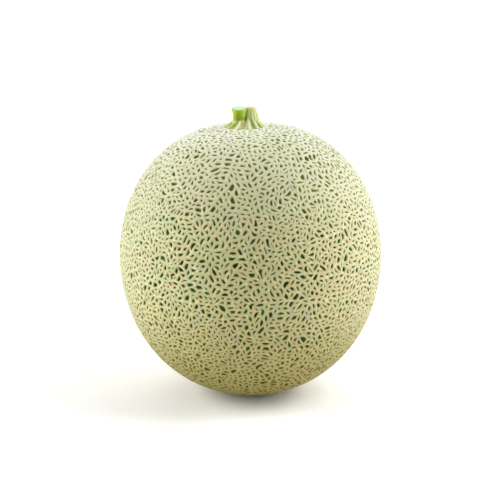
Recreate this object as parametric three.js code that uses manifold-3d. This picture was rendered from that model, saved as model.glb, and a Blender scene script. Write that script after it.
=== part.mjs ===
// A netted cantaloupe melon, picked with a short stub of stalk, standing on its blossom end.
//
// Millimetres, +Z up. The origin is on the ground under the middle of the fruit. The front is
// -Y, and the stalk's green peg stands to the left of its pale lobe, towards -X.
//
// Two solids, which the plant grew as one:
//   melon  the fruit: rind, raised cork net, blossom scar and the spot it rests on
//   stem   the stub of stalk: a ribbed crown on the rind, a cut green peg and a pale lobe
import * as THREE from "three";
import { ConvexHull } from "three/addons/math/ConvexHull.js";
import { mergeVertices } from "three/addons/utils/BufferGeometryUtils.js";
import Module from "manifold-3d";

const wasm = await Module();
wasm.setup();

// ---- driving dimensions -------------------------------------------------------------------

// The fruit's outline about its own axis: a circle with three slow waves on it, which make it
// taller than wide, full in the shoulders and a little narrower towards the blossom end.
const FRUIT_RADIUS = 75.2;
const TALL_WAVE = 0.0308; // share of the radius, twice round
const SHOULDER_WAVE = -0.0041; // three times round
const SQUARE_WAVE = -0.0052; // four times round
const STALK_DIP = 3.5; // how much flatter the stalk end is than those waves
const DIP_SPREAD = 0.32; // radians from the stalk end over which the flattening fades
const LEAN = THREE.MathUtils.degToRad(0.75); // the axis leans this far towards -X
const SETTLE = 0.8; // how much of the blossom end the resting spot takes off

// The net: gaps between its cords, sunk into the rind. They are set wider apart than on a real
// melon, whose gaps are about 3 mm apart.
const GAP_COUNT = 1240;
const GAP_DEPTH = 1.9;
const GAP_SHARE = 0.45; // a gap's half length, as a share of the way to the next gap
const SPREAD_ROUNDS = 14;
const SEED = 20251;

// The smooth collar round the stalk, and the scar under the fruit.
const COLLAR_RADIUS = 13.5;
const RESTING_RADIUS = 10.6;
const SCAR_RADIUS = 5.2;
const SCAR_GROOVE_WIDTH = 1.6;
const SCAR_GROOVE_DEPTH = 0.6;

// The stalk. Its crown's foot and neck are ovals, wider along X than along Y. The foot reaches
// furthest out on one side, and the neck stands a little to the other side of its middle.
const SKIN_GAP = 0.3; // between the rind and the stalk's foot
const STEM_X = -3.0; // where the stalk's middle stands on the rind
const STEM_Y = 0.6;
const RIB_COUNT = 13;
const RIB_DEPTH = 0.6;
const CROWN_FOOT = { x: 11.1, y: 8.4 };
const CROWN_NECK = { x: 6.9, y: 5.6 };
const FOOT_REACH = 0.8; // how much further out the foot reaches on its longer side
const FOOT_TURN = THREE.MathUtils.degToRad(225); // where that side is
const NECK_SHIFT = 0.6; // towards +X
const CROWN_HEIGHT = 4.0; // above the fruit's top
const PEG_X = -6.35;
const PEG_Y = -1.5;
const PEG_CUT_RADIUS = 3.95;
const PEG_WAIST_RADIUS = 3.45;
const PEG_HEIGHT = 10.5; // its cut face, above the fruit's top
const LOBE_X = 0.0;
const LOBE_Y = 0.9;
const LOBE_RADIUS = 5.2; // where it leaves the crown
const LOBE_HEIGHT = 10.8; // above the fruit's top

// ---- the fruit's skin as a formula --------------------------------------------------------

const axis = new THREE.Vector3(-Math.sin(LEAN), 0, Math.cos(LEAN));

/** Distance from the fruit's centre to its rind, at an angle from the stalk end. */
function rindRadius(angle) {
  const waves = TALL_WAVE * Math.cos(2 * angle) + SHOULDER_WAVE * Math.cos(3 * angle)
    + SQUARE_WAVE * Math.cos(4 * angle);
  return FRUIT_RADIUS * (1 + waves) - STALK_DIP * Math.exp(-((angle / DIP_SPREAD) ** 2));
}

const CENTRE_HEIGHT = rindRadius(Math.PI) - SETTLE;
const FRUIT_TOP = CENTRE_HEIGHT + rindRadius(0);

/** How far the solid reaches from its centre along a direction: to the rind or to the ground. */
function reach(direction) {
  const toRind = rindRadius(direction.angleTo(axis));
  return direction.z < 0 ? Math.min(toRind, CENTRE_HEIGHT / -direction.z) : toRind;
}

/** The point of the fruit along a direction, sunk below the skin by depth. */
function skinPoint(direction, depth = 0) {
  const point = direction.clone().multiplyScalar(reach(direction) - depth);
  point.z += CENTRE_HEIGHT;
  return point;
}

/** Height of the rind above the ground at a place near the top of the fruit. */
function topHeight(x, y) {
  const direction = new THREE.Vector3(x, y, rindRadius(0)).normalize();
  const STEPS = 6; // each one brings the point nearer to standing over (x, y)
  for (let i = 0; i < STEPS; i += 1) {
    const height = skinPoint(direction).z - CENTRE_HEIGHT;
    direction.set(x, y, height).normalize();
  }
  return skinPoint(direction).z;
}

// ---- helpers ------------------------------------------------------------------------------

/** A repeatable stream of random numbers from 0 to 1 (mulberry32). */
function randomStream(seed) {
  let state = seed;
  return () => {
    state = (state + 0x6d2b79f5) | 0;
    let t = Math.imul(state ^ (state >>> 15), 1 | state);
    t = (t + Math.imul(t ^ (t >>> 7), 61 | t)) ^ t;
    return ((t ^ (t >>> 14)) >>> 0) / 4294967296;
  };
}

const random = randomStream(SEED);
const between = (low, high) => low + (high - low) * random();

/** An indexed geometry from a list of points and a flat list of corner numbers. */
function meshOf(points, corners) {
  const geometry = new THREE.BufferGeometry().setFromPoints(points);
  geometry.setIndex(corners);
  return geometry;
}

/** A direction that is a little towards a neighbour from another one, and a little across. */
function beside(direction, neighbour, towards, across) {
  const sideways = new THREE.Vector3().crossVectors(direction, neighbour).normalize();
  const forwards = new THREE.Vector3().crossVectors(sideways, direction);
  return direction.clone()
    .addScaledVector(forwards, towards)
    .addScaledVector(sideways, across)
    .normalize();
}

// ---- the melon ----------------------------------------------------------------------------

/** Directions spread over the sphere at random, then pushed apart so that none is crowded. */
function spreadDirections(count) {
  const spots = Array.from({ length: count }, () => {
    const z = between(-1, 1);
    const turn = between(0, 2 * Math.PI);
    const level = Math.sqrt(1 - z * z);
    return new THREE.Vector3(level * Math.cos(turn), level * Math.sin(turn), z);
  });
  const near = 2.2 * Math.sqrt((4 * Math.PI) / count);
  const push = new THREE.Vector3();
  const away = new THREE.Vector3();
  for (let round = 0; round < SPREAD_ROUNDS; round += 1) {
    for (const spot of spots) {
      push.set(0, 0, 0);
      for (const other of spots) {
        const distance = spot.distanceTo(other);
        if (distance > 0 && distance < near) {
          away.subVectors(spot, other).divideScalar(distance);
          push.addScaledVector(away, (1 - distance / near) ** 3);
        }
      }
      spot.addScaledVector(push, 0.25 * near).normalize();
    }
  }
  return spots;
}

/** Directions to a ring on the fruit's end, round an upright line through x; end is 1 or -1. */
function ringDirections(x, radius, count, end) {
  const height = end > 0 ? rindRadius(0) : -CENTRE_HEIGHT;
  return Array.from({ length: count }, (_, i) => {
    const turn = ((i + between(0, 0.15)) / count) * 2 * Math.PI;
    const along = x + radius * Math.cos(turn);
    return new THREE.Vector3(along, radius * Math.sin(turn), height).normalize();
  });
}

/** The fruit, as one skin over the net's gaps, the stalk's collar and the resting spot. */
function melonGeometry() {
  const directions = [];
  const depths = [];
  const add = (direction, depth = 0) => {
    directions.push(direction);
    depths.push(depth);
  };

  // the net's gaps: a sunk middle in a rim of three to five points
  const centres = spreadDirections(GAP_COUNT);
  const collarAngle = COLLAR_RADIUS / FRUIT_RADIUS;
  const restingAngle = RESTING_RADIUS / FRUIT_RADIUS;
  const stalkEnd = new THREE.Vector3(STEM_X, 0, rindRadius(0)).normalize();
  const blossomEnd = new THREE.Vector3(0, 0, -1);
  for (const centre of centres) {
    let nearest = null;
    let distance = Infinity;
    for (const other of centres) {
      if (other !== centre && centre.distanceTo(other) < distance) {
        nearest = other;
        distance = centre.distanceTo(other);
      }
    }
    const halfLength = GAP_SHARE * distance * between(0.85, 1.15);
    const clearOfStalk = centre.angleTo(stalkEnd) > collarAngle + halfLength;
    const clearOfGround = centre.angleTo(blossomEnd) > restingAngle + 1.2 * halfLength;
    if (!clearOfStalk || !clearOfGround) continue;
    const halfWidth = halfLength * between(0.55, 0.95);
    const turn = between(-0.7, 0.7); // a gap lies mostly across the way to the next one
    const sides = 3 + Math.floor(between(0, 2.2));
    add(centre, GAP_DEPTH * between(0.8, 1.15));
    for (let i = 0; i < sides; i += 1) {
      const round = ((i + between(-0.16, 0.16)) / sides) * 2 * Math.PI;
      const long = halfLength * Math.cos(round);
      const wide = halfWidth * Math.sin(round);
      add(beside(centre, nearest, wide * Math.cos(turn) - long * Math.sin(turn),
        wide * Math.sin(turn) + long * Math.cos(turn)));
    }
  }

  // the smooth skin under the stalk
  for (const [radius, count] of [[3, 5], [6.5, 9], [10, 14], [COLLAR_RADIUS, 20]]) {
    ringDirections(STEM_X, radius, count, 1).forEach((direction) => add(direction));
  }

  // the resting spot, with the groove round the blossom scar
  const half = SCAR_GROOVE_WIDTH / 2;
  add(blossomEnd);
  for (const [radius, count, depth] of [[SCAR_RADIUS - half, 12, 0],
    [SCAR_RADIUS, 14, SCAR_GROOVE_DEPTH], [SCAR_RADIUS + half, 17, 0], [RESTING_RADIUS, 28, 0]]) {
    ringDirections(0, radius, count, -1).forEach((direction) => add(direction, depth));
  }

  // the hull of the directions joins each point to its neighbours all over the sphere
  const hull = new ConvexHull().setFromPoints(directions);
  const numberOf = new Map(directions.map((direction, i) => [direction, i]));
  const corners = [];
  for (const face of hull.faces) {
    let edge = face.edge;
    do {
      corners.push(numberOf.get(edge.head().point));
      edge = edge.next;
    } while (edge !== face.edge);
  }
  return meshOf(directions.map((direction, i) => skinPoint(direction, depths[i])), corners);
}

// ---- the stem -----------------------------------------------------------------------------

/** A closed skin over a stack of rings with the same number of points, from foot to top. */
function loft(rings) {
  const count = rings[0].length;
  const points = rings.flat();
  const corners = [];
  for (let level = 0; level + 1 < rings.length; level += 1) {
    for (let i = 0; i < count; i += 1) {
      const a = level * count + i;
      const b = level * count + ((i + 1) % count);
      corners.push(a, b, b + count, a, b + count, a + count);
    }
  }
  const middle = (ring) => ring.reduce((sum, point) => sum.add(point), new THREE.Vector3())
    .divideScalar(count);
  const foot = points.push(middle(rings[0])) - 1;
  const top = points.push(middle(rings[rings.length - 1])) - 1;
  const topRing = (rings.length - 1) * count;
  for (let i = 0; i < count; i += 1) {
    const j = (i + 1) % count;
    corners.push(foot, j, i, top, topRing + i, topRing + j);
  }
  return meshOf(points, corners);
}

/** A ring of count points from a function of the turn about the stalk. */
function ringOf(count, pointAt) {
  return Array.from({ length: count }, (_, i) => pointAt((i / count) * 2 * Math.PI));
}

/** How far the stalk's ribs stand out at a turn about it, from -1 to 1; some lie closer. */
function rib(turn) {
  return Math.cos(RIB_COUNT * turn + 0.8 * Math.sin(2 * turn + 1));
}

/** The ribbed crown that spreads over the rind: its ribs run out like roots. */
function crownGeometry() {
  const SIDES = 6 * RIB_COUNT;
  const { lerp } = THREE.MathUtils;
  const oval = (share, turn, relief) => {
    const out = relief + (1 - share) * FOOT_REACH * Math.cos(turn - FOOT_TURN);
    return {
      x: STEM_X + share * NECK_SHIFT
        + (lerp(CROWN_FOOT.x, CROWN_NECK.x, share) + out) * Math.cos(turn),
      y: STEM_Y + (lerp(CROWN_FOOT.y, CROWN_NECK.y, share) + out) * Math.sin(turn),
    };
  };
  const onRind = (x, y, rise) => new THREE.Vector3(x, y, topHeight(x, y) + SKIN_GAP + rise);
  const inside = (x, y, share) => [STEM_X + (x - STEM_X) * share, STEM_Y + (y - STEM_Y) * share];
  const neckTop = FRUIT_TOP + CROWN_HEIGHT;

  // under the foot, which follows the rind from the middle out
  const foot = [0.35, 0.7].map((share) => ringOf(SIDES, (turn) => {
    const { x, y } = oval(0, turn, RIB_DEPTH * rib(turn));
    return onRind(...inside(x, y, share), 0);
  }));
  // up the outside: share of the way from foot to neck, and height above the rind
  const outside = [[0, 0], [0.1, 0.5], [0.4, 1.1], [0.68, 2.0], [0.88, 3.1]]
    .map(([share, rise]) => ringOf(SIDES, (turn) => {
      const { x, y } = oval(share, turn, RIB_DEPTH * rib(turn) * (1.4 - 0.6 * share));
      return onRind(x, y, rise * (1 + 0.15 * rib(turn)));
    }));
  // over the level top
  const top = [1, 0.7, 0.35].map((share) => ringOf(SIDES, (turn) => {
    const { x, y } = oval(1, turn, 0.6 * RIB_DEPTH * rib(turn));
    return new THREE.Vector3(...inside(x, y, share), neckTop);
  }));
  return loft([...foot, ...outside, ...top]);
}

/** An upright knob: levels are pairs of the share of its height and its radius there. */
function knob(sides, x, y, oval, foot, top, levels, flute) {
  return loft(levels.map(([rise, radius]) => ringOf(sides, (turn) => {
    const out = radius * (1 + flute * rib(turn));
    return new THREE.Vector3(x + out * Math.cos(turn), y + oval * out * Math.sin(turn),
      THREE.MathUtils.lerp(foot, top, rise));
  })));
}

/** The green peg: waisted where it leaves the crown, wider at its cut face. */
function pegGeometry() {
  const cut = PEG_CUT_RADIUS;
  const waist = PEG_WAIST_RADIUS;
  const levels = [[0, waist], [0.38, waist], [0.52, waist + 0.3], [0.68, cut - 0.3],
    [0.86, cut], [1, cut - 0.1]];
  return knob(30, PEG_X, PEG_Y, 0.95, FRUIT_TOP + 1, FRUIT_TOP + PEG_HEIGHT, levels, 0);
}

/** The pale lobe beside the peg: a rounded, fluted knuckle of the same stalk. */
function lobeGeometry() {
  const levels = [[0, 1.05], [0.22, 1], [0.42, 0.89], [0.7, 0.7], [0.9, 0.57], [1, 0.38]]
    .map(([rise, share]) => [rise, share * LOBE_RADIUS]);
  return knob(4 * RIB_COUNT, LOBE_X, LOBE_Y, 0.95, FRUIT_TOP + 1, FRUIT_TOP + LOBE_HEIGHT,
    levels, 0.07);
}

/** A geometry as a manifold-3d solid. */
function solidOf(geometry) {
  const merged = mergeVertices(geometry, 1e-5);
  return new wasm.Manifold(new wasm.Mesh({
    numProp: 3,
    vertProperties: new Float32Array(merged.getAttribute("position").array),
    triVerts: new Uint32Array(merged.getIndex().array),
  }));
}

/** A manifold-3d solid as a geometry. */
function geometryOf(solid) {
  const { vertProperties, triVerts } = solid.getMesh();
  const geometry = new THREE.BufferGeometry();
  geometry.setAttribute("position", new THREE.BufferAttribute(vertProperties, 3));
  geometry.setIndex(new THREE.BufferAttribute(triVerts, 1));
  return geometry;
}

/** The crown, peg and lobe, grown together as one solid. */
function stemGeometry() {
  const solid = solidOf(crownGeometry()).add(solidOf(pegGeometry())).add(solidOf(lobeGeometry()));
  return geometryOf(solid);
}

// ---- the scene graph ----------------------------------------------------------------------

const rind = new THREE.MeshStandardMaterial({ color: 0xb9b884, roughness: 0.75, metalness: 0 });
const stalk = new THREE.MeshStandardMaterial({ color: 0xa9bf52, roughness: 0.55, metalness: 0 });

/** A mesh under its node's name. */
function named(name, geometry, material) {
  geometry.computeVertexNormals();
  const mesh = new THREE.Mesh(geometry, material);
  mesh.name = name;
  return mesh;
}

const cantaloupe = new THREE.Group();
cantaloupe.name = "cantaloupe";
cantaloupe.add(named("melon", melonGeometry(), rind));
cantaloupe.add(named("stem", stemGeometry(), stalk));

export default cantaloupe;
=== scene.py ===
"""The looks of a netted cantaloupe melon, round the solids that the frame holds.

The fruit is a sphere cut into irregular cells. Each cell is let into the surface as one gap of the
net, so what is left between the gaps is the net's cork cords. Then the sphere is drawn out to the
fruit's own outline. The stalk is built from rings: a ribbed crown, a green peg and a pale lobe.
"""
from math import cos, pi, radians, sin

import bmesh
import bpy
import numpy as np
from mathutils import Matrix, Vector


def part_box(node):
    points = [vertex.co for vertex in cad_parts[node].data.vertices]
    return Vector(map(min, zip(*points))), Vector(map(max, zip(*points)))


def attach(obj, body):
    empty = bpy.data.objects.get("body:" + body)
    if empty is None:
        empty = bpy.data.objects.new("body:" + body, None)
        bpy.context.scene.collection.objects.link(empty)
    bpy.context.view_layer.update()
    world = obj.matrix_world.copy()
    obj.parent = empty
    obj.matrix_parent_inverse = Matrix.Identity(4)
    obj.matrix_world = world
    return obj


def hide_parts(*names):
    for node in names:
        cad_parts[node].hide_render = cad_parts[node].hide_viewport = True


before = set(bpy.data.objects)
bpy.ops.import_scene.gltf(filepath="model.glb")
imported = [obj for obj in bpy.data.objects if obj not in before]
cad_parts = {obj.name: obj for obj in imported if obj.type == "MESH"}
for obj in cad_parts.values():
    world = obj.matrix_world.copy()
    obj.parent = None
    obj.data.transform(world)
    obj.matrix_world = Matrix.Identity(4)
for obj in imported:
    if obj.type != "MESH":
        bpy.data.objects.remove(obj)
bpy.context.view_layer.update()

bl_info = {
    "name": "Netted cantaloupe",
    "version": (1, 0, 0),
    "blender": (4, 5, 0),
    "location": "3D View > Sidebar > Cantaloupe",
    "description": "Builds a netted cantaloupe melon with its cut stalk, and a plain studio",
    "category": "Add Mesh",
}

# ---- sizes taken from the frame, in metres --------------------------------------------------

MELON_LOW, MELON_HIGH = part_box("melon")

# The fruit's outline about its own axis: slow waves on a circle, as shares of its radius.
TALL_WAVE = 0.0308
SHOULDER_WAVE = -0.0041
SQUARE_WAVE = -0.0052
STALK_DIP = 0.0035  # the stalk end is flatter than those waves by this
DIP_SPREAD = 0.32  # radians from the stalk end over which that fades
LEAN = radians(0.75)  # the fruit's axis leans this far towards -X
HALF_WIDTH = (MELON_HIGH.x - MELON_LOW.x) / 2
FRUIT_RADIUS = HALF_WIDTH / (1 - TALL_WAVE + SQUARE_WAVE)
TOP_RADIUS = FRUIT_RADIUS * (1 + TALL_WAVE + SHOULDER_WAVE + SQUARE_WAVE) - STALK_DIP
CENTRE_HEIGHT = MELON_HIGH.z - TOP_RADIUS

COLLAR_RADIUS = 0.0125  # smooth skin round the stalk, narrower along Y
COLLAR_SQUEEZE = 1.25
SCAR_RADIUS = 0.0052
SCAR_GROOVE = 0.0009  # half the width of the groove round the scar
SCAR_DEPTH = 0.0006

# The stalk's own sizes. Its crown is an oval, wider along X than along Y.
FOOT_MIDDLE = (-0.0030, 0.0006)
FOOT_WIDE, FOOT_DEEP = 0.0111, 0.0084
FOOT_REACH = 0.0008  # how much further out the foot reaches on its longer side
FOOT_TURN = radians(225)  # where that side is
NECK_WIDE, NECK_DEEP = 0.0069, 0.0056
NECK_SHIFT = 0.0006  # towards +X
CROWN_RISE = 0.0040  # above the rind; the peg and the lobe rise from the fruit's top
PEG_MIDDLE = (-0.00635, -0.0015)
PEG_CUT, PEG_WAIST = 0.00395, 0.00345
PEG_RISE = 0.0105
CUT_TILT = 0.13  # how steeply the cut falls to the front
LOBE_MIDDLE = (0.0, 0.0009)
LOBE_SIZE = 0.0052
LOBE_RISE = 0.0108
KNOB_SQUEEZE = 0.95  # how deep the peg and the lobe are, as a share of their width
RIB_SEGMENTS = 22  # columns of faces to each rib
STALK_VOXEL = 0.00024  # the cell in which crown, peg and lobe are melted together

# Profiles of the crown at its levels, which are shares of the way from its underside to its top:
# how far out it goes, how far it is from foot to neck, and its height as a share of the rise.
CROWN_LEVEL = (0, 0.10, 0.22, 0.30, 0.42, 0.56, 0.70, 0.84, 1)
CROWN_OUT = (0, 0.6, 0.97, 1, 1, 1, 1, 1, 0)
CROWN_NARROWING = (0, 0, 0, 0.03, 0.30, 0.62, 0.88, 1, 1)
CROWN_HEIGHT = (-0.2, -0.2, -0.15, 0.12, 0.24, 0.46, 0.77, 1, 1)

# Profiles of the peg and the lobe: shares of the height, and the radius there.
PEG_HEIGHTS = (0, 0, 0.30, 0.47, 0.62, 0.78, 0.93, 1.0, 0.985, 0.985, 0.985)
PEG_RADII = (0, PEG_WAIST, PEG_WAIST, 1.01 * PEG_WAIST, 0.93 * PEG_CUT, 0.97 * PEG_CUT, PEG_CUT,
             0.97 * PEG_CUT, 0.84 * PEG_CUT, 0.4 * PEG_CUT, 0)
PEG_FLUTE = 0.012  # how far flutes stand out and in, as a share of the radius
LOBE_HEIGHTS = (0, 0, 0.29, 0.44, 0.60, 0.74, 0.86, 0.95, 1.0, 0.99, 0.97)
LOBE_SHARES = (0, 1.08, 1.01, 0.91, 0.79, 0.69, 0.61, 0.54, 0.40, 0.18, 0)
LOBE_RADII = [LOBE_SIZE * share for share in LOBE_SHARES]
LOBE_FLUTE = 0.045

# The net before it is raised.
JITTER = 0.0017  # how far the first triangles' corners are shaken
FINE_AT_STALK = COLLAR_RADIUS - 0.001  # nearer than this to the stalk the triangles are finer
FINE_AT_SCAR = SCAR_RADIUS + 0.003
FINE_CUTS = 3
FINE_AREA = 8.0e-7  # triangles below this are those finer ones
# Rounds of joining: the most triangles that a cell may have, and the share of all the joining
# that is done when the round ends.
JOINING = ((5, 0.35), (2, 1.0), (3, 1.0), (4, 1.0))
BENT_SHARE = 0.13  # share of the cells' sides that are bent
BEND = 0.00035  # how far, along each axis at most

# The cords and the gaps between them.
CORD_SPREAD = 0.25  # cords are drawn up to this share wider or narrower
WIDEST_INSET = 0.62  # a cell is inset by at most this share of its inner radius
SMALLEST_CELL = 0.00050  # a cell of a smaller inner radius stays closed
# Cords are wider on the flanks and the shoulder and narrower on the underside: by what share,
# how far from the fruit's middle that begins, and how much further on it is full.
FLANK_MORE, FLANK_FROM, FLANK_FULL = 0.16, 0.035, 0.030
SHOULDER_MORE, SHOULDER_FROM, SHOULDER_FULL = 0.08, 0.045, 0.020
UNDERSIDE_LESS, UNDERSIDE_FROM, UNDERSIDE_FULL = 0.06, 0.010, 0.030
BARE_SHOULDER = 0.022  # nearer than this to the stalk they are as elsewhere
INSET_STEP = 0.00005  # insets are rounded to this, so that gaps of one width go in together
FARTHEST_CORNER = 0.92  # a new corner further out than this share of its face is a stray one
STRAY_PLACE = 0.4  # it is put back to this share
NUDGE = 0.00030  # how far a gap's corners are moved at random, along each axis at most
WALL_WIDTH = 0.00020  # of the steep sides of a gap
WIDE_AREA = 4.0e-6  # a gap of this area or more counts as a wide one
LEAST_FALL, WIDE_FALL = 0.55, 0.45  # the narrowest gaps' share of the depth, and what width adds
FALL_SPREAD = 0.2  # each gap lies up to this share deeper or less deep
RIM_VALUE = 0.3  # depth runs from 0 on a cord's middle over this at its edge to 1 in a gap
CREST = 0.00016  # how much a cord's middle stands above its edges

# The image that the camera takes, in pixels, and where the fruit's middle lies in it.
IMAGE_WIDTH = 500
METRES_PER_PIXEL = 0.0005562
MIDDLE_X, MIDDLE_Y = 250.5, 256.2

# Light panels: side, place, width and height, in metres. The power is in the stage's settings.
PANELS = (
    ("left", (-2.0, 0.0, 0.9), 1.8, 1.8),
    ("right", (2.0, 0.0, 0.9), 1.8, 1.8),
    ("back", (1.6, 1.3, 0.9), 1.6, 1.8),
    ("top", (1.6, 0.0, 1.9), 1.5, 1.5),
    ("far", (0.0, 2.2, 2.2), 3.0, 2.0),
)
FLOOR_RADIUS = 2.0


def rind_radius(directions):
    """Distance from the fruit's centre to its rind along unit directions, one per row."""
    axis = np.array([-sin(LEAN), 0, cos(LEAN)])
    angle = np.arccos(np.clip(directions @ axis, -1, 1))
    waves = (TALL_WAVE * np.cos(2 * angle) + SHOULDER_WAVE * np.cos(3 * angle)
             + SQUARE_WAVE * np.cos(4 * angle))
    return FRUIT_RADIUS * (1 + waves) - STALK_DIP * np.exp(-(angle / DIP_SPREAD) ** 2)


def top_height(x, y):
    """Height of the rind above the ground at places near the top of the fruit."""
    height = np.full_like(x, TOP_RADIUS)
    for _ in range(6):  # by then it no longer changes
        directions = np.stack([x, y, height], axis=-1)
        directions /= np.linalg.norm(directions, axis=-1, keepdims=True)
        height = rind_radius(directions) * directions[..., 2]
    return height + CENTRE_HEIGHT


# ---- what a user may change -----------------------------------------------------------------

def length(name, description, default, **more):
    """A length property in metres."""
    return bpy.props.FloatProperty(name=name, description=description, default=default,
                                   unit="LENGTH", precision=5, **more)


def colour(name, description, default):
    """A colour property; the default is given as linear red, green and blue."""
    return bpy.props.FloatVectorProperty(name=name, description=description, default=default,
                                         subtype="COLOR", size=3, min=0, max=1)


def watts(name, description, default):
    """A light's power."""
    return bpy.props.FloatProperty(name=name, description=description, default=default, min=0,
                                   unit="POWER")


class CantaloupeRind(bpy.types.PropertyGroup):
    """Sizes and colours of the netted rind"""
    seed: bpy.props.IntProperty(name="Seed", description="Which net is drawn", default=11)
    fineness: bpy.props.IntProperty(
        name="Fineness", description="Cuts along each edge of the icosahedron",
        default=29, min=4, max=40)
    cells: bpy.props.IntProperty(name="Cells", description="How many cells the net has",
                                 default=7600, min=1000, max=12000)
    cord: length("Cord half width", "Half the width of a cork cord between two gaps", 0.00073)
    depth: length("Gap depth", "How far the rind lies below the cork net", 0.0009)
    cork: colour("Cork", "The net's cords", (0.416, 0.413, 0.176))
    cork_green: colour("Green cork", "Greener stretches of the net", (0.372, 0.413, 0.173))
    cork_warm: colour("Warm cork", "Peach spots on the cords", (0.5, 0.392, 0.183))
    cork_cool: colour("Cool cork", "Grey-lilac spots on the cords", (0.398, 0.385, 0.228))
    # painted highlight: small light spots painted on the cords as glints
    cork_glint: colour("Cork fleck", "Light flecks on the cords", (0.600, 0.580, 0.280))
    cork_edge: colour("Cord edge", "Where a cord falls into a gap", (0.345, 0.295, 0.105))
    # painted light: the net on the fruit's upper side, round the stalk, is painted paler and
    # cooler, as the light from above falls on it
    cork_top_light: colour("Pale cork", "The paler, cooler net round the stalk", (0.483, 0.5, 0.32))
    # painted shade: the net is painted darker and browner near the ground, where the underside
    # lies in shade
    cork_underside_shade: colour("Low cork", "The browner net near the ground", (0.252, 0.203, 0.022))
    # the gap colours are the rind's own greens and browns, painted darker with the shade that lies
    # deep in the gaps
    gap: colour("Gap", "The rind in a small gap", (0.064, 0.045, 0.0006))
    gap_wide: colour("Wide gap", "The rind in a wide gap", (0.015, 0.088, 0.028))
    gap_brown: colour("Brown gap", "Brown spots in the gaps", (0.050, 0.0270, 0.0020))
    # painted light and shade: the gaps are painted paler on the fruit's upper side and on their
    # steep sides, and left darker at their ground
    gap_lit: colour("Pale gap", "The lighter rind on the sides of gaps and round the stalk",
                     (0.215, 0.230, 0.024))
    # painted shade: near the ground the gaps are painted in one browner colour, sides and all,
    # with the underside's shade
    gap_underside_shade: colour("Low gap", "The browner rind in gaps near the ground", (0.100, 0.072, 0.0))
    scar: colour("Scar", "The groove round the blossom scar", (0.25, 0.183, 0.0833))


class CantaloupeStalk(bpy.types.PropertyGroup):
    """Sizes and colours of the cut stalk"""
    ribs: bpy.props.IntProperty(name="Ribs", description="Ribs round the crown", default=13)
    rib_depth: length("Rib depth", "How far the ribs stand out, and the grooves in", 0.00048)
    green: colour("Peg", "Fresh green of the peg", (0.30, 0.41, 0.022))
    # painted shade: the peg is painted darker towards the crown
    peg_foot_shade: colour("Low peg", "The peg near the crown", (0.195, 0.32, 0.006))
    green_light: colour("Light peg", "Paler patches on the peg", (0.417, 0.517, 0.133))
    cut: colour("Cut face", "Pale face of the cut", (0.430, 0.560, 0.460))
    # cream is the ribs' own colour, and is also painted along the peg's left edge as a highlight
    cream: colour("Rib", "Cream cork of the ribs, and the peg's dry edge", (0.6, 0.617, 0.417))
    peach: colour("Peach streak", "Peach streaks on the ribs", (0.65, 0.483, 0.267))
    groove: colour("Groove", "Green between the ribs", (0.34, 0.42, 0.075))
    lobe: colour("Lobe", "Pale green of the lobe", (0.45, 0.55, 0.17))
    brown: colour("Brown spot", "Where the peg leaves the crown", (0.417, 0.25, 0.05))


class CantaloupeStage(bpy.types.PropertyGroup):
    """The camera and the light"""
    elevation: bpy.props.FloatProperty(name="Elevation", default=radians(15), subtype="ANGLE",
                                       description="How far the camera looks down")
    distance: length("Distance", "From the camera to the fruit's middle", 1.0)
    left_light: watts("Left light", "The large panel on the left", 68.4)
    right_light: watts("Right light", "The large panel on the right", 45.6)
    back_light: watts("Back light", "The panel behind on the right", 9.6)
    top_light: watts("Top light", "The overhead panel on the right", 28.8)
    far_light: watts("Far light", "The overhead panel over the floor behind", 32.4)
    sky: bpy.props.FloatProperty(name="Sky", description="Strength of the light all round",
                                 default=0.24, min=0)
    horizon: bpy.props.FloatProperty(name="Horizon", description="The same near the horizon",
                                     default=1.15, min=0)
    floor: colour("Floor", "The pale floor", (0.96, 0.96, 0.96))


# ---- working on a mesh ----------------------------------------------------------------------

def start_fresh():
    """Deselect everything, so that the next operator acts on its own piece alone."""
    if bpy.context.object and bpy.context.object.mode != "OBJECT":
        bpy.ops.object.mode_set(mode="OBJECT")
    bpy.ops.object.select_all(action="DESELECT")


def points_of(mesh):
    """The mesh's vertices, one per row."""
    flat = np.empty(3 * len(mesh.vertices))
    mesh.vertices.foreach_get("co", flat)
    return flat.reshape(-1, 3)


def move_points(mesh, points):
    """Put the mesh's vertices at the given places."""
    mesh.vertices.foreach_set("co", points.ravel())
    mesh.update()


def per_face(mesh, what, kind=float):
    """One value of every face, such as its area."""
    values = np.empty(len(mesh.polygons), kind)
    mesh.polygons.foreach_get(what, values)
    return values


def per_face_vectors(mesh, what):
    """One vector of every face, such as its centre, one per row."""
    flat = np.empty(3 * len(mesh.polygons))
    mesh.polygons.foreach_get(what, flat)
    return flat.reshape(-1, 3)


def note(mesh, **named):
    """Store values on the mesh's points, one attribute for each name."""
    for name, values in named.items():
        mesh.attributes.new(name, "FLOAT", "POINT").data.foreach_set("value", values)


def shade_smooth(mesh):
    """Shade every face smooth."""
    mesh.polygons.foreach_set("use_smooth", np.ones(len(mesh.polygons), bool))


def rising(value, span):
    """0 where a value is below 0, rising to 1 where it reaches span."""
    return np.clip(value / span, 0, 1)


def near(value, middle, half):
    """1 at a middle value, falling to 0 at half away from it."""
    return np.clip(1 - np.abs(value - middle) / half, 0, 1)


def round_off(mesh, radius):
    """Put every vertex on a sphere about the origin."""
    points = points_of(mesh)
    points *= (radius / np.linalg.norm(points, axis=1))[:, None]
    move_points(mesh, points)


def face_corners(mesh):
    """(vertex of each corner, face of each corner) as two flat arrays."""
    corner_vertex = np.empty(len(mesh.loops), int)
    mesh.loops.foreach_get("vertex_index", corner_vertex)
    corner_face = np.repeat(np.arange(len(mesh.polygons)), per_face(mesh, "loop_total", int))
    return corner_vertex, corner_face


def corners_of(mesh, chosen):
    """The same for chosen faces only, given as one truth value per face."""
    vertex, face = face_corners(mesh)
    inner = padded(mesh, chosen)[face]
    return vertex[inner], face[inner]


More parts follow.
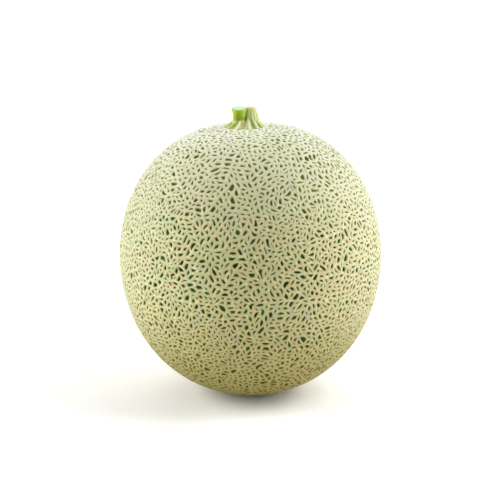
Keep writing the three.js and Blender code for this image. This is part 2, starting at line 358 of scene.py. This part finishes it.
def padded(mesh, chosen):
    """Truth values of the faces, with False for the faces added since they were made."""
    return np.concatenate([chosen, np.zeros(len(mesh.polygons) - len(chosen), bool)])


def edit_selected(obj, faces):
    """Go into edit mode with just these faces selected; faces is one truth value per face."""
    bpy.ops.object.mode_set(mode="EDIT")
    bpy.ops.mesh.select_mode(type="FACE")
    bpy.ops.mesh.select_all(action="DESELECT")
    bpy.ops.object.mode_set(mode="OBJECT")
    obj.data.polygons.foreach_set("select", padded(obj.data, faces))
    bpy.ops.object.mode_set(mode="EDIT")


# ---- the rind -------------------------------------------------------------------------------

def join_triangles(mesh, cells, random):
    """Dissolve edges at random, so that cells of one to five triangles are left.

    The fine triangles round the stalk and the scar stay as they are.
    """
    edges = list(mesh.edges)
    cell_of = list(range(len(mesh.faces)))
    members = [[face.index] for face in mesh.faces]
    corners = [{vertex.index for vertex in face.verts} for face in mesh.faces]
    fine = [face.calc_area() < FINE_AREA for face in mesh.faces]
    gone = []
    to_go = len(mesh.faces) - sum(fine) - cells
    for most, share in JOINING:
        for i in random.permutation(len(edges)):
            if len(gone) >= share * to_go:
                break
            one, other = (cell_of[face.index] for face in edges[i].link_faces)
            count = len(members[one]) + len(members[other])
            # joined triangles have two corners more than triangles, unless they close a ring
            if (one == other or fine[one] or fine[other] or count > most
                    or len(corners[one] | corners[other]) != count + 2):
                continue
            for member in members[other]:
                cell_of[member] = one
            members[one] += members[other]
            corners[one] |= corners[other]
            members[other] = []
            gone.append(edges[i])
    bmesh.ops.dissolve_edges(mesh, edges=gone, use_verts=False, use_face_split=False)


def bend_sides(mesh, random):
    """Give the longer sides of the cells a bend."""
    lengths = np.array([edge.calc_length() for edge in mesh.edges])
    longer = lengths > np.quantile(lengths, 1 - BENT_SHARE)
    sides = [edge for edge, is_long in zip(mesh.edges, longer) if is_long]
    for part in bmesh.ops.bisect_edges(mesh, edges=sides, cuts=1)["geom_split"]:
        if isinstance(part, bmesh.types.BMVert):
            part.co += Vector(random.uniform(-BEND, BEND, 3))


def cut_into_cells(settings):
    """A sphere of irregular cells, with finer triangles under the stalk and round the scar."""
    start_fresh()
    bpy.ops.mesh.primitive_ico_sphere_add(subdivisions=1, radius=FRUIT_RADIUS)
    obj = bpy.context.object
    obj.name = obj.data.name = "rind"
    bpy.ops.object.mode_set(mode="EDIT")
    bpy.ops.mesh.select_all(action="SELECT")
    bpy.ops.mesh.subdivide(number_cuts=settings.fineness)
    bpy.ops.object.mode_set(mode="OBJECT")
    round_off(obj.data, FRUIT_RADIUS)
    bpy.ops.object.mode_set(mode="EDIT")
    bpy.ops.mesh.select_all(action="SELECT")
    bpy.ops.transform.vertex_random(offset=JITTER, uniform=0.0, normal=0.0, seed=settings.seed)
    bpy.ops.mesh.beautify_fill(angle_limit=pi)
    bpy.ops.mesh.vertices_smooth(factor=0.2, repeat=1)
    bpy.ops.object.mode_set(mode="OBJECT")
    from_stalk, from_scar = end_distances(per_face_vectors(obj.data, "center"))
    edit_selected(obj, (from_stalk < FINE_AT_STALK) | (from_scar < FINE_AT_SCAR))
    bpy.ops.mesh.subdivide(number_cuts=FINE_CUTS)
    bpy.ops.mesh.select_all(action="SELECT")
    bpy.ops.mesh.quads_convert_to_tris()
    bpy.ops.object.mode_set(mode="OBJECT")

    random = np.random.default_rng(settings.seed)
    mesh = bmesh.new()
    mesh.from_mesh(obj.data)
    join_triangles(mesh, settings.cells, random)
    bend_sides(mesh, random)
    mesh.to_mesh(obj.data)
    mesh.free()
    round_off(obj.data, FRUIT_RADIUS)
    return obj


def end_distances(points):
    """How far points on the sphere lie from the stalk's middle and from the blossom scar."""
    directions = points / np.linalg.norm(points, axis=1, keepdims=True)
    stalk_end = np.array([*FOOT_MIDDLE, TOP_RADIUS])
    stalk_end /= np.linalg.norm(stalk_end)
    from_stalk = np.linalg.norm((directions - stalk_end) * [1, COLLAR_SQUEEZE, 1], axis=1)
    from_stalk *= TOP_RADIUS
    from_scar = np.linalg.norm(directions + [0, 0, 1], axis=1) * TOP_RADIUS
    return from_stalk, from_scar


def cord_widths(mesh, settings):
    """How far each cell is inset: half a cord's width, and 0 where a cell stays closed."""
    random = np.random.default_rng(settings.seed + 1)
    points = points_of(mesh)
    vertex, face = face_corners(mesh)
    starts = per_face(mesh, "loop_start", int)
    following = np.arange(len(vertex)) + 1
    following[starts + per_face(mesh, "loop_total", int) - 1] = starts
    sides = np.linalg.norm(points[vertex[following]] - points[vertex], axis=1)
    inner_radius = 2 * per_face(mesh, "area") / np.bincount(face, sides)

    centres = per_face_vectors(mesh, "center")
    from_stalk, from_scar = end_distances(centres)
    flank = rising(np.abs(centres[:, 0]) - FLANK_FROM, FLANK_FULL)
    shoulder = rising(centres[:, 2] - SHOULDER_FROM, SHOULDER_FULL)
    shoulder *= from_stalk > BARE_SHOULDER
    underside = rising(-centres[:, 2] - UNDERSIDE_FROM, UNDERSIDE_FULL)
    crowding = 1 + FLANK_MORE * flank + SHOULDER_MORE * shoulder - UNDERSIDE_LESS * underside
    width = settings.cord * crowding
    width *= random.uniform(1 - CORD_SPREAD, 1 + CORD_SPREAD, len(inner_radius))
    width *= (inner_radius / np.median(inner_radius)) ** 0.5
    width = np.minimum(width, WIDEST_INSET * inner_radius)
    width[inner_radius < SMALLEST_CELL] = 0
    width[(from_stalk < COLLAR_RADIUS) | (from_scar < SCAR_RADIUS)] = 0
    return width


def inset_faces(obj, chosen, thickness):
    """Inset each chosen face for itself; it keeps its number.

    Corners that a narrow tip throws outside their own face are pulled in again.
    """
    mesh = obj.data
    centres = per_face_vectors(mesh, "center")
    points = points_of(mesh)
    vertex, face = face_corners(mesh)
    reach = np.zeros(len(centres))
    np.maximum.at(reach, face, np.linalg.norm(points[vertex] - centres[face], axis=1))
    edit_selected(obj, chosen)
    bpy.ops.mesh.inset(thickness=thickness, use_individual=True, use_even_offset=True)
    bpy.ops.object.mode_set(mode="OBJECT")
    points = points_of(mesh)
    vertex, face = corners_of(mesh, chosen)
    away = points[vertex] - centres[face]
    distance = np.linalg.norm(away, axis=1)
    stray = distance > FARTHEST_CORNER * reach[face]
    vertex, face, away = vertex[stray], face[stray], away[stray]
    shorter = STRAY_PLACE * reach[face] / distance[stray]
    points[vertex] = centres[face] + away * shorter[:, None]
    move_points(mesh, points)


def let_in_gaps(obj, settings):
    """Inset every cell by a cord's half width. Returns which faces are gaps."""
    mesh = obj.data
    level = np.round(cord_widths(mesh, settings) / INSET_STEP).astype(int)
    for value in np.unique(level[level > 0]):
        inset_faces(obj, padded(mesh, level == value), value * INSET_STEP)
    gaps = padded(mesh, level > 0)
    random = np.random.default_rng(settings.seed + 3)
    points = points_of(mesh)
    vertex, face = corners_of(mesh, gaps)
    points[vertex] += random.uniform(-NUDGE, NUDGE, (len(vertex), 3))
    move_points(mesh, points)
    edit_selected(obj, gaps)
    bpy.ops.mesh.vertices_smooth(factor=0.5, repeat=1)
    bpy.ops.object.mode_set(mode="OBJECT")
    return gaps


def sink_gaps(obj, gaps, corner_count, settings):
    """Sink the gaps, the wide ones deeper, and note on the points how deep they lie.

    The first corner_count points are the cells' own corners, on the cords' middles. Each gap also
    gets a tint of its own, and the share of the widest gaps' size that it has.
    """
    mesh = obj.data
    crests = len(mesh.vertices)
    inset_faces(obj, gaps, WALL_WIDTH)
    gaps = padded(mesh, gaps)
    random = np.random.default_rng(settings.seed + 2)
    area = per_face(mesh, "area")
    wide = np.clip(area / WIDE_AREA, 0, 1)
    tint = random.uniform(0, 1, len(area))
    vertex, face = corners_of(mesh, gaps)
    points = points_of(mesh)
    fall = settings.depth * (LEAST_FALL + WIDE_FALL * wide[face])
    fall *= 1 - FALL_SPREAD + 2 * FALL_SPREAD * tint[face]
    points[vertex] *= (1 - fall / FRUIT_RADIUS)[:, None]
    move_points(mesh, points)
    depth, width_share, own_tint = np.zeros((3, len(points)))
    depth[vertex] = 1
    depth[corner_count:crests] = RIM_VALUE
    width_share[vertex] = wide[face]
    own_tint[vertex] = tint[face]
    note(mesh, depth=depth, wide=width_share, tint=own_tint)


def draw_out(mesh):
    """From the working sphere to the fruit's own outline, standing on its flat spot."""
    points = points_of(mesh)
    distance = np.linalg.norm(points, axis=1)
    directions = points / distance[:, None]
    points = directions * (rind_radius(directions) + distance - FRUIT_RADIUS)[:, None]
    points[:, 2] = np.maximum(points[:, 2] + CENTRE_HEIGHT, 0)
    move_points(mesh, points)


def lay_out_cube(mesh):
    """A UV map of six square charts, one for each way that a face looks out."""
    centres = per_face_vectors(mesh, "center") - [0, 0, CENTRE_HEIGHT]
    axis = np.abs(centres).argmax(axis=1)
    rows = np.arange(len(axis))
    below = centres[rows, axis] < 0
    vertex, face = face_corners(mesh)
    points = points_of(mesh)[vertex] - [0, 0, CENTRE_HEIGHT]
    corner = np.arange(len(vertex))
    along = np.abs(points[corner, axis[face]])
    across = points[corner, (axis[face] + 1) % 3] / along
    up = points[corner, (axis[face] + 2) % 3] / along
    chart_width = 0.5
    chart_height = 1 / 3
    fill = 0.96  # the rest keeps the charts apart
    flat = np.empty((len(vertex), 2))
    flat[:, 0] = (below[face] + 0.5 + fill * np.arctan(across) * 2 / pi) * chart_width
    flat[:, 1] = (axis[face] + 0.5 + fill * np.arctan(up) * 2 / pi) * chart_height
    mesh.uv_layers.new(name="OFBake").data.foreach_set("uv", flat.ravel())


# ---- finishes -------------------------------------------------------------------------------

def new_finish(name):
    """A material with its node tree and its shader."""
    material = bpy.data.materials.new(name)
    material.use_nodes = True
    tree = material.node_tree
    return material, tree, tree.nodes["Principled BSDF"]


def stored(tree, name, output="Fac"):
    """A value noted on the mesh's points, or with output "Vector" a place."""
    node = tree.nodes.new("ShaderNodeAttribute")
    node.attribute_name = name
    return node.outputs[output]


def place_on_piece(tree):
    """Where a point lies on its own piece, in metres."""
    return tree.nodes.new("ShaderNodeTexCoord").outputs["Object"]


def grain(tree, size, detail, shift, place=None):
    """Noise from 0 to 1 with spots about size metres wide, over the piece or a stored place."""
    node = tree.nodes.new("ShaderNodeTexNoise")
    node.noise_dimensions = "4D"
    node.inputs["W"].default_value = shift
    node.inputs["Scale"].default_value = 0.5 / size
    node.inputs["Detail"].default_value = detail
    tree.links.new(place or place_on_piece(tree), node.inputs["Vector"])
    return node.outputs["Fac"]


def eased(tree, value, low, high, to_low=0.0, to_high=1.0):
    """A value carried smoothly from low..high to to_low..to_high."""
    node = tree.nodes.new("ShaderNodeMapRange")
    node.interpolation_type = "SMOOTHSTEP"
    tree.links.new(value, node.inputs["Value"])
    for key, number in (("From Min", low), ("From Max", high),
                        ("To Min", to_low), ("To Max", to_high)):
        node.inputs[key].default_value = number
    return node.outputs["Result"]


def spots(tree, size, detail, shift, start, full, most=1.0, place=None):
    """Spots of noise: 0 where it is below start, growing to most where it is above full."""
    return eased(tree, grain(tree, size, detail, shift, place), start, full, 0.0, most)


def by_depth(tree, sunk, on_cord, in_gap):
    """A value that differs between the cords and the gaps."""
    return eased(tree, sunk, 0.0, 1.0, on_cord, in_gap)


def worked(tree, operation, first, second):
    """Two values added, multiplied and so on; the second may be a plain number."""
    node = tree.nodes.new("ShaderNodeMath")
    node.operation = operation
    tree.links.new(first, node.inputs[0])
    if isinstance(second, (int, float)):
        node.inputs[1].default_value = second
    else:
        tree.links.new(second, node.inputs[1])
    return node.outputs["Value"]


def blended(tree, share, first, second):
    """A colour between two, each of them a colour property or another node's colour."""
    node = tree.nodes.new("ShaderNodeMix")
    node.data_type = "RGBA"
    tree.links.new(share, node.inputs["Factor"])
    for key, tone in (("A", first), ("B", second)):
        socket = next(i for i in node.inputs if i.name == key and i.type == "RGBA")
        if isinstance(tone, bpy.types.NodeSocket):
            tree.links.new(tone, socket)
        else:
            socket.default_value = (*tone, 1)
    return next(o for o in node.outputs if o.type == "RGBA")


def roughened(tree, shader, height, distance):
    """Fine relief on the shader's surface."""
    bump = tree.nodes.new("ShaderNodeBump")
    bump.inputs["Distance"].default_value = distance
    tree.links.new(height, bump.inputs["Height"])
    tree.links.new(bump.outputs["Normal"], shader.inputs["Normal"])


def rind_finish(settings):
    """Cork cords in creams, peach and grey over a green rind."""
    material, tree, shader = new_finish("netted rind")
    place = tree.nodes.new("ShaderNodeSeparateXYZ")
    tree.links.new(place_on_piece(tree), place.inputs["Vector"])
    height = place.outputs["Z"]
    depth = stored(tree, "depth")

    cork = blended(tree, spots(tree, size=0.022, detail=1.0, shift=1.0, start=0.42, full=0.62),
                   settings.cork, settings.cork_green)
    cork = blended(tree, spots(tree, size=0.0021, detail=1.5, shift=2.0, start=0.51, full=0.64),
                   cork, settings.cork_warm)
    cork = blended(tree, spots(tree, size=0.0024, detail=1.5, shift=3.0, start=0.52, full=0.67),
                   cork, settings.cork_cool)
    # painted highlight: small light spots on the cords stand for glints of light
    glints = spots(tree, size=0.0009, detail=1.0, shift=8.0, start=0.54, full=0.68, most=0.75)
    cork = blended(tree, glints, cork, settings.cork_glint)
    cork = blended(tree, eased(tree, depth, low=0.0, high=0.25, to_high=0.5),
                   cork, settings.cork_edge)
    # painted light: the net is painted paler and cooler towards the top
    cork = blended(tree, eased(tree, height, low=0.085, high=0.150, to_high=0.6),
                   cork, settings.cork_top_light)
    # painted shade: the net darkens and browns towards the ground, for the shade under the fruit
    cork = blended(tree, eased(tree, height, low=0.005, high=0.075, to_low=0.85, to_high=0.0),
                   cork, settings.cork_underside_shade)
    cork = blended(tree, stored(tree, "scar"), cork, settings.scar)

    # wide gaps are green, most of all where their own tint is low
    green = worked(tree, "ADD", stored(tree, "wide"), grain(tree, 0.007, detail=1.0, shift=4.0))
    green = eased(tree, green, low=0.64, high=0.88)
    plain = eased(tree, stored(tree, "tint"), low=0.4, high=0.7, to_low=1.0, to_high=0.4)
    green = worked(tree, "MULTIPLY", green, plain)
    brown = spots(tree, size=0.0025, detail=1.0, shift=5.0, start=0.50, full=0.66, most=0.8)
    gap = blended(tree, brown, settings.gap, settings.gap_brown)
    gap = blended(tree, green, gap, settings.gap_wide)
    # painted light: the gaps are painted paler towards the top
    gap = blended(tree, eased(tree, height, low=0.092, high=0.138, to_high=0.7),
                  gap, settings.gap_lit)
    # painted shade: a gap is painted darker from its paler steep sides down to its ground, where
    # its shade is deepest
    gap = blended(tree, eased(tree, depth, low=0.40, high=0.95, to_low=0.75, to_high=0.0),
                  gap, settings.gap_lit)
    # painted shade: the gaps turn browner towards the ground, for the shade under the fruit
    gap = blended(tree, eased(tree, height, low=0.012, high=0.068, to_low=0.95, to_high=0.0),
                  gap, settings.gap_underside_shade)
    sunk = eased(tree, depth, low=0.20, high=0.42)
    tree.links.new(blended(tree, sunk, cork, gap), shader.inputs["Base Color"])

    tree.links.new(by_depth(tree, sunk, on_cord=0.66, in_gap=0.46), shader.inputs["Roughness"])
    tree.links.new(by_depth(tree, sunk, on_cord=0.5, in_gap=0.08),
                   shader.inputs["Specular IOR Level"])
    # painted sheen: the sheen is made stronger towards the top and weaker in the gaps, to lay a
    # pale veil of light over the upper side, most on the cords
    sheen_veil = worked(tree, "MULTIPLY",
                  eased(tree, height, low=0.01, high=0.12, to_low=0.04, to_high=0.66),
                  by_depth(tree, sunk, on_cord=1.0, in_gap=0.25))
    tree.links.new(sheen_veil, shader.inputs["Sheen Weight"])
    shader.inputs["Sheen Roughness"].default_value = 0.52
    shader.inputs["Sheen Tint"].default_value = (0.86, 0.92, 1.0, 1)
    fine = worked(tree, "ADD", grain(tree, 0.0009, detail=3.0, shift=6.0),
                  grain(tree, 0.0003, detail=2.0, shift=7.0))
    roughened(tree, shader, fine, distance=0.00012)
    return material


def stalk_finish(settings):
    """Cream ribs with green grooves, a green peg and its pale cut."""
    material, tree, shader = new_finish("cut stalk")
    along = stored(tree, "along", "Vector")
    streaks = spots(tree, size=0.0009, detail=1.0, shift=1.0, start=0.30, full=0.70, place=along)
    rib_share, streak_share = 0.55, 0.45
    crest = worked(tree, "ADD", worked(tree, "MULTIPLY", stored(tree, "rib"), rib_share),
                   worked(tree, "MULTIPLY", streaks, streak_share))
    crown = blended(tree, eased(tree, crest, low=0.35, high=0.80),
                    settings.groove, settings.cream)
    peach = spots(tree, size=0.0018, detail=1.0, shift=2.0, start=0.56, full=0.72, most=0.6,
                  place=along)
    crown = blended(tree, peach, crown, settings.peach)
    mottled = blended(tree, spots(tree, size=0.0008, detail=1.0, shift=6.0, start=0.50, full=0.64,
                                  most=0.6),
                      settings.lobe, settings.peach)
    crown = blended(tree, stored(tree, "lobe"), crown, mottled)
    # painted shade: the peg darkens towards the crown
    peg = blended(tree, eased(tree, stored(tree, "low"), low=0.0, high=1.0),
                  settings.green, settings.peg_foot_shade)
    peg = blended(tree, spots(tree, size=0.0030, detail=1.0, shift=3.0, start=0.50, full=0.75,
                              most=0.5),
                  peg, settings.green_light)
    # painted highlight: the peg's left edge is painted cream
    peg = blended(tree, stored(tree, "dry"), peg, settings.cream)
    stalk = blended(tree, stored(tree, "peg"), crown, peg)
    stalk = blended(tree, stored(tree, "spot"), stalk, settings.brown)
    stalk = blended(tree, stored(tree, "cut"), stalk, settings.cut)
    tree.links.new(stalk, shader.inputs["Base Color"])
    shader.inputs["Roughness"].default_value = 0.5
    shader.inputs["Specular IOR Level"].default_value = 0.3
    fine = worked(tree, "ADD", grain(tree, 0.0008, detail=2.0, shift=4.0),
                  grain(tree, 0.0003, detail=2.0, shift=5.0))
    roughened(tree, shader, fine, distance=0.00010)
    return material


class CANTALOUPE_OT_rind(bpy.types.Operator):
    """Build the fruit with its raised net"""
    bl_idname = "cantaloupe.rind"
    bl_label = "Netted rind"

    def execute(self, context):
        settings = context.scene.cantaloupe_rind
        obj = cut_into_cells(settings)
        mesh = obj.data
        corner_count = len(mesh.vertices)
        gaps = let_in_gaps(obj, settings)
        sink_gaps(obj, gaps, corner_count, settings)
        points = points_of(mesh)
        from_stalk, from_scar = end_distances(points)
        raised = (np.arange(len(points)) < corner_count) & (from_stalk > COLLAR_RADIUS)
        points[raised] *= 1 + CREST / FRUIT_RADIUS
        groove = near(from_scar, SCAR_RADIUS, SCAR_GROOVE)
        points *= (1 - groove * SCAR_DEPTH / FRUIT_RADIUS)[:, None]
        note(mesh, scar=groove)
        move_points(mesh, points)
        draw_out(mesh)
        lay_out_cube(mesh)
        shade_smooth(mesh)
        mesh.materials.append(rind_finish(settings))
        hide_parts("melon")
        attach(obj, "root")
        return {"FINISHED"}


# ---- the stalk ------------------------------------------------------------------------------

def rib_wave(turn, ribs):
    """How far the stalk's ribs stand out at a turn about it, from -1 to 1; some lie closer."""
    return np.cos(ribs * turn + 0.8 * np.sin(2 * turn + 1))


def round_piece(name, around, levels, shape):
    """A closed piece from a sphere, each point put where shape(turn, climb) says."""
    start_fresh()
    bpy.ops.mesh.primitive_uv_sphere_add(segments=around, ring_count=levels, radius=1)
    obj = bpy.context.object
    obj.name = obj.data.name = name
    points = points_of(obj.data)
    turn = np.arctan2(points[:, 1], points[:, 0])
    climb = 1 - np.arccos(np.clip(points[:, 2], -1, 1)) / pi
    move_points(obj.data, shape(turn, climb))
    return obj


def crown_shape(settings):
    """The ribbed crown that spreads over the rind like roots."""
    def shape(turn, climb):
        rib = rib_wave(turn, settings.ribs)
        out = np.interp(climb, CROWN_LEVEL, CROWN_OUT)
        narrowing = np.interp(climb, CROWN_LEVEL, CROWN_NARROWING)
        rise = CROWN_RISE * np.interp(climb, CROWN_LEVEL, CROWN_HEIGHT)
        # the ribs stand out most at the foot
        more = settings.rib_depth * rib * (1.5 - 0.7 * narrowing)
        more += (1 - narrowing) * FOOT_REACH * np.cos(turn - FOOT_TURN)
        wide = FOOT_WIDE + (NECK_WIDE - FOOT_WIDE) * narrowing + more
        deep = FOOT_DEEP + (NECK_DEEP - FOOT_DEEP) * narrowing + more
        x = FOOT_MIDDLE[0] + narrowing * NECK_SHIFT + wide * out * np.cos(turn)
        y = FOOT_MIDDLE[1] + deep * out * np.sin(turn)
        z = top_height(x, y) + rise * (1 + 0.15 * rib)
        return np.stack([x, y, z], axis=1)
    return shape


def knob_shape(middle, rise, heights, radii, flute, ribs, tilt=0.0):
    """An upright knob on the fruit's top; tilt is how steeply its own top falls to the front."""
    foot = MELON_HIGH.z
    top = foot + rise

    def shape(turn, climb):
        level = np.linspace(0, 1, len(heights))
        height = np.interp(climb, level, heights)
        radius = np.interp(climb, level, radii) * (1 + flute * rib_wave(turn, ribs))
        x = middle[0] + radius * np.cos(turn)
        y = middle[1] + KNOB_SQUEEZE * radius * np.sin(turn)
        z = foot + (top - foot) * height
        z += tilt * (y - middle[1]) * height
        return np.stack([x, y, z], axis=1)
    return shape


class CANTALOUPE_OT_stalk(bpy.types.Operator):
    """Build the cut stalk: crown, peg and lobe, grown together"""
    bl_idname = "cantaloupe.stalk"
    bl_label = "Cut stalk"

    def execute(self, context):
        settings = context.scene.cantaloupe_stalk
        ribs = settings.ribs
        crown = round_piece("stalk", RIB_SEGMENTS * ribs, 72, crown_shape(settings))
        peg = round_piece("peg", 96, 48, knob_shape(
            PEG_MIDDLE, PEG_RISE, PEG_HEIGHTS, PEG_RADII, PEG_FLUTE, ribs, CUT_TILT))
        lobe = round_piece("lobe", RIB_SEGMENTS * ribs, 48, knob_shape(
            LOBE_MIDDLE, LOBE_RISE, LOBE_HEIGHTS, LOBE_RADII, LOBE_FLUTE, ribs))
        start_fresh()
        for piece in (lobe, peg, crown):
            piece.select_set(True)
        context.view_layer.objects.active = crown
        bpy.ops.object.join()
        obj = context.object
        melted = obj.modifiers.new("grown together", "REMESH")
        melted.mode = "VOXEL"
        melted.voxel_size = STALK_VOXEL
        bpy.ops.object.modifier_apply(modifier=melted.name)
        evened = obj.modifiers.new("evened", "SMOOTH")
        evened.factor = 0.5
        evened.iterations = 3
        bpy.ops.object.modifier_apply(modifier=evened.name)
        self.note_parts(obj.data, settings)
        shade_smooth(obj.data)
        obj.data.materials.clear()
        obj.data.materials.append(stalk_finish(settings))
        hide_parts("stem")
        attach(obj, "root")
        return {"FINISHED"}

    def note_parts(self, mesh, settings):
        """Note on the points which part of the stalk they belong to."""
        points = points_of(mesh)
        x, y, z = points.T
        rise = z - MELON_HIGH.z
        from_peg = np.hypot(x - PEG_MIDDLE[0], (y - PEG_MIDDLE[1]) / KNOB_SQUEEZE)
        from_lobe = np.hypot(x - LOBE_MIDDLE[0], y - LOBE_MIDDLE[1])
        on_lobe = (from_lobe < 1.15 * LOBE_SIZE) & (rise > CROWN_RISE)
        turn = np.where(on_lobe, np.arctan2(y - LOBE_MIDDLE[1], x - LOBE_MIDDLE[0]),
                        np.arctan2((y - FOOT_MIDDLE[1]) / FOOT_DEEP,
                                   (x - FOOT_MIDDLE[0] - NECK_SHIFT / 2) / FOOT_WIDE))
        border = 0.0003  # over which one part's colour gives way to the next
        rib = 0.5 + 0.5 * rib_wave(turn, settings.ribs)
        peg = rising(PEG_CUT + 0.0004 - from_peg, border)
        peg *= rising(rise - CROWN_RISE + 0.0002, 0.0005)
        # the cut has a green rim, and reaches as far down as the rim is rounded
        under_cut = PEG_RISE + CUT_TILT * (y - PEG_MIDDLE[1]) - rise
        cut = rising(PEG_CUT - 0.0005 - from_peg, border)
        cut *= rising(0.0006 - under_cut, border)
        # painted shade: the peg darkens from near its top towards the crown
        low = rising(PEG_RISE - 0.001 - rise, 0.005)
        # brown where the peg leaves the crown, most at its left
        spot = near(x, PEG_MIDDLE[0] - 0.0022, 0.0020) * near(rise, CROWN_RISE + 0.0005, 0.0012)
        spot = np.maximum(spot, near(rise, CROWN_RISE, 0.0005) * (from_peg < PEG_CUT) * 0.6)
        spot *= y < PEG_MIDDLE[1]
        lobe = 0.75 * on_lobe * rising(LOBE_MIDDLE[0] + 0.0035 - x, 0.002)
        # painted highlight: the peg's left edge is painted pale, save for its top
        dry = rising(PEG_MIDDLE[0] - 0.0027 - x, 0.0006) * (rise < PEG_RISE - 0.0025)
        note(mesh, rib=rib, peg=peg, cut=cut, low=low, spot=spot, lobe=lobe, dry=dry)
        # streaks run along the ribs: their pattern turns with them and is drawn out upwards
        along = np.stack([np.cos(turn) * FOOT_DEEP, np.sin(turn) * FOOT_DEEP, 0.15 * rise], axis=1)
        streaks = mesh.attributes.new("along", "FLOAT_VECTOR", "POINT")
        streaks.data.foreach_set("vector", along.ravel())


# ---- the studio -----------------------------------------------------------------------------

def panel_light(name, place, aim, width, height, power):
    """A soft rectangular light that faces a point and isn't seen itself."""
    bpy.ops.object.light_add(type="AREA", location=place)
    light = bpy.context.object
    light.name = light.data.name = name
    light.data.shape = "RECTANGLE"
    light.data.size, light.data.size_y = width, height
    light.data.energy = power
    light.rotation_euler = (aim - Vector(place)).to_track_quat("-Z", "Y").to_euler()
    light.visible_camera = False


def surround(settings):
    """A world that is white round the horizon, most of all behind the fruit, and dark overhead."""
    world = bpy.data.worlds.new("studio")
    world.use_nodes = True
    tree = world.node_tree
    way = tree.nodes.new("ShaderNodeSeparateXYZ")
    tree.links.new(tree.nodes.new("ShaderNodeTexCoord").outputs["Generated"],
                   way.inputs["Vector"])
    low = eased(tree, way.outputs["Z"], low=0.10, high=0.25, to_low=1.0, to_high=0.0)
    behind = eased(tree, way.outputs["Y"], low=-0.6, high=0.0, to_low=0.25, to_high=1.0)
    glow = worked(tree, "MULTIPLY", worked(tree, "MULTIPLY", low, behind),
                  settings.horizon - settings.sky)
    light = worked(tree, "ADD", glow, settings.sky)
    tree.links.new(light, tree.nodes["Background"].inputs["Strength"])
    tree.nodes["Background"].inputs["Color"].default_value = (1, 1, 1, 1)
    return world


class CANTALOUPE_OT_stage(bpy.types.Operator):
    """Set the camera, the lights and the floor"""
    bl_idname = "cantaloupe.stage"
    bl_label = "Camera, light and floor"

    def execute(self, context):
        settings = context.scene.cantaloupe_stage
        middle = Vector((0, 0, CENTRE_HEIGHT))
        start_fresh()
        bpy.ops.object.camera_add()
        camera = context.object
        camera.name = "camera"
        up = settings.elevation
        back = Vector((0, -cos(up), sin(up)))
        lens = camera.data
        lens.sensor_width = 36
        lens.lens = lens.sensor_width * settings.distance / (IMAGE_WIDTH * METRES_PER_PIXEL)
        camera.rotation_euler = (-back).to_track_quat("-Z", "Y").to_euler()
        camera.location = middle + back * settings.distance
        lens.shift_x = (IMAGE_WIDTH / 2 - MIDDLE_X) / IMAGE_WIDTH
        lens.shift_y = (MIDDLE_Y - IMAGE_WIDTH / 2) / IMAGE_WIDTH
        context.scene.camera = camera

        for side, place, width, height in PANELS:
            power = getattr(settings, f"{side}_light")
            panel_light(f"{side} panel", place, middle, width, height, power)

        start_fresh()
        bpy.ops.mesh.primitive_circle_add(vertices=96, radius=FLOOR_RADIUS, fill_type="NGON")
        floor = context.object
        floor.name = "floor"
        material, _, shader = new_finish("pale floor")
        shader.inputs["Base Color"].default_value = (*settings.floor, 1)
        shader.inputs["Roughness"].default_value = 0.8
        floor.data.materials.append(material)
        context.scene.world = surround(settings)
        context.scene.view_settings.view_transform = "Standard"
        return {"FINISHED"}


class CANTALOUPE_PT_panel(bpy.types.Panel):
    """The melon's settings and build steps in the 3D view's sidebar"""
    bl_label = "Cantaloupe"
    bl_space_type = "VIEW_3D"
    bl_region_type = "UI"
    bl_category = "Cantaloupe"

    def draw(self, context):
        for name in GROUPS:
            settings = getattr(context.scene, name)
            box = self.layout.box()
            for field in settings.bl_rna.properties.keys():
                if field not in {"rna_type", "name"}:
                    box.prop(settings, field)
        for operator in STEPS:
            self.layout.operator(operator.bl_idname)


GROUPS = {"cantaloupe_rind": CantaloupeRind, "cantaloupe_stalk": CantaloupeStalk,
          "cantaloupe_stage": CantaloupeStage}
STEPS = [CANTALOUPE_OT_stage, CANTALOUPE_OT_rind, CANTALOUPE_OT_stalk]


def register():
    """Add the classes and their settings to Blender."""
    for cls in [*GROUPS.values(), *STEPS, CANTALOUPE_PT_panel]:
        bpy.utils.register_class(cls)
    for name, group in GROUPS.items():
        setattr(bpy.types.Scene, name, bpy.props.PointerProperty(type=group))


def unregister():
    """Take them away again."""
    for name in GROUPS:
        delattr(bpy.types.Scene, name)
    for cls in reversed([*GROUPS.values(), *STEPS, CANTALOUPE_PT_panel]):
        bpy.utils.unregister_class(cls)


def main():
    """Build the scene."""
    register()
    bpy.ops.cantaloupe.stage()
    bpy.ops.cantaloupe.rind()
    bpy.ops.cantaloupe.stalk()


if __name__ == "__main__":
    main()
